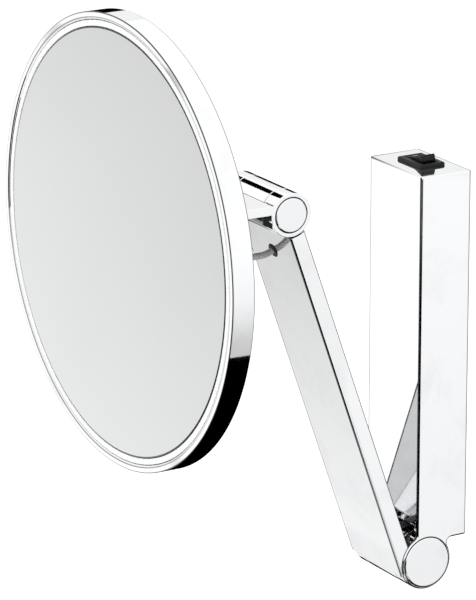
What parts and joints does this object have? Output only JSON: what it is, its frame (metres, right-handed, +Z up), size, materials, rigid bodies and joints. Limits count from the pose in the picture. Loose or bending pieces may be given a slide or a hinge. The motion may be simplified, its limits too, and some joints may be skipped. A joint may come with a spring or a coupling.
{
  "type": "extendable shaving mirror",
  "caption": "Round lit magnifying mirror on a folding arm hinged to a slim wall post, with a rocker switch on top of the post.",
  "frame": {"origin": "centre of the wall plate's flat back, on the wall", "axes": "+Y into the wall and -Y where the mirror faces, +Z up, +X along the hinge pins to the right-hand side as seen when facing the wall"},
  "size_m": [0.212, 0.1785, 0.296],
  "materials": {
    "chrome_casing": "bright chrome plate",
    "chrome_caps": "bright chrome plate",
    "chrome_covers": "bright chrome plate",
    "plated_steel": "zinc plated",
    "steel_fixings": "machined",
    "brass_contacts": "plain",
    "bearing_plastic": "acetal",
    "black_rubber": "moulded",
    "switch_plastic": "black moulded",
    "switch_rocker_plastic": "black moulded",
    "grey_lead": "grey jacket",
    "mirror_silver": "silvered glass",
    "opal_ring": "opal, satin",
    "white_plastic": "moulded",
    "foam_pad": "closed-cell foam",
    "carrier_aluminium": "mill finish",
    "led_circuit": "white solder mask",
    "led_chip": "phosphor"
  },
  "bodies": {
    "wall_post": {"wall_plate": "plated_steel", "post_housing": "chrome_casing", "casing_screws": "steel_fixings", "inlet_grommet": "black_rubber", "led_driver": "white_plastic", "driver_screws": "steel_fixings", "terminal_block": "white_plastic", "terminal_screws": "steel_fixings", "lower_pivot_pin": "steel_fixings", "lower_pivot_nut": "steel_fixings", "lower_disc_springs": "steel_fixings", "lower_end_cap_right": "chrome_caps", "lower_end_cap_left": "chrome_caps", "switch_body": "switch_plastic", "switch_pin": "steel_fixings", "switch_terminals": "brass_contacts", "switch_contact": "brass_contacts", "post_lead": "grey_lead"},
    "rocker": {"switch_rocker": "switch_rocker_plastic"},
    "arm": {"arm_housing": "chrome_casing", "arm_rear_cover": "chrome_covers", "arm_cover_screws": "steel_fixings", "arm_lower_knuckle": "chrome_casing", "arm_upper_knuckle": "chrome_casing", "knuckle_screws": "steel_fixings", "lower_hinge_bushes": "bearing_plastic", "lower_friction_washers": "bearing_plastic", "upper_hinge_bushes": "bearing_plastic", "upper_friction_washers": "bearing_plastic", "arm_grommet": "black_rubber", "arm_lead": "grey_lead", "hinge_lead": "black_rubber"},
    "bracket": {"bracket": "chrome_casing", "upper_pivot_pin": "steel_fixings", "upper_pivot_nut": "steel_fixings", "upper_disc_springs": "steel_fixings", "upper_end_cap_right": "chrome_caps", "upper_end_cap_left": "chrome_caps", "lead_gland": "black_rubber", "head_lead": "grey_lead"},
    "mirror_head": {"mirror_rim": "chrome_casing", "light_ring": "opal_ring", "mirror_glass": "mirror_silver", "adhesive_pad": "foam_pad", "carrier_plate": "carrier_aluminium", "led_board": "led_circuit", "leds": "led_chip", "reflector_ring": "white_plastic", "led_connector": "white_plastic", "led_ribbon": "led_circuit", "seal_ring": "black_rubber", "back_cover": "chrome_covers", "back_cover_screws": "steel_fixings", "swivel_hub": "chrome_covers", "hub_screws": "steel_fixings", "swivel_pin": "steel_fixings", "swivel_washers": "bearing_plastic", "swivel_circlip": "steel_fixings"}
  },
  "joints": [
    {"name": "switch_rocker_tilt", "type": "hinge", "parent": "wall_post", "child": "rocker", "pos_m": [-0.0012, -0.0123, 0.0909], "axis": [0, 1, 0], "range_deg": [0, 29]},
    {"name": "arm_base_pivot", "type": "hinge", "parent": "wall_post", "child": "arm", "pos_m": [0, -0.0219, -0.1007], "axis": [1, 0, 0], "range_deg": [-18, 70.5], "deforming": ["hinge_lead"]},
    {"name": "head_tilt", "type": "hinge", "parent": "arm", "child": "bracket", "pos_m": [0, -0.09834, 0.08281], "axis": [1, 0, 0], "range_deg": [-90, 30], "deforming": ["head_lead"]},
    {"name": "head_swivel", "type": "hinge", "parent": "bracket", "child": "mirror_head", "pos_m": [0, -0.1523, 0.0756], "axis": [0, 0, 1], "range_deg": [-45, 45]}
  ]
}
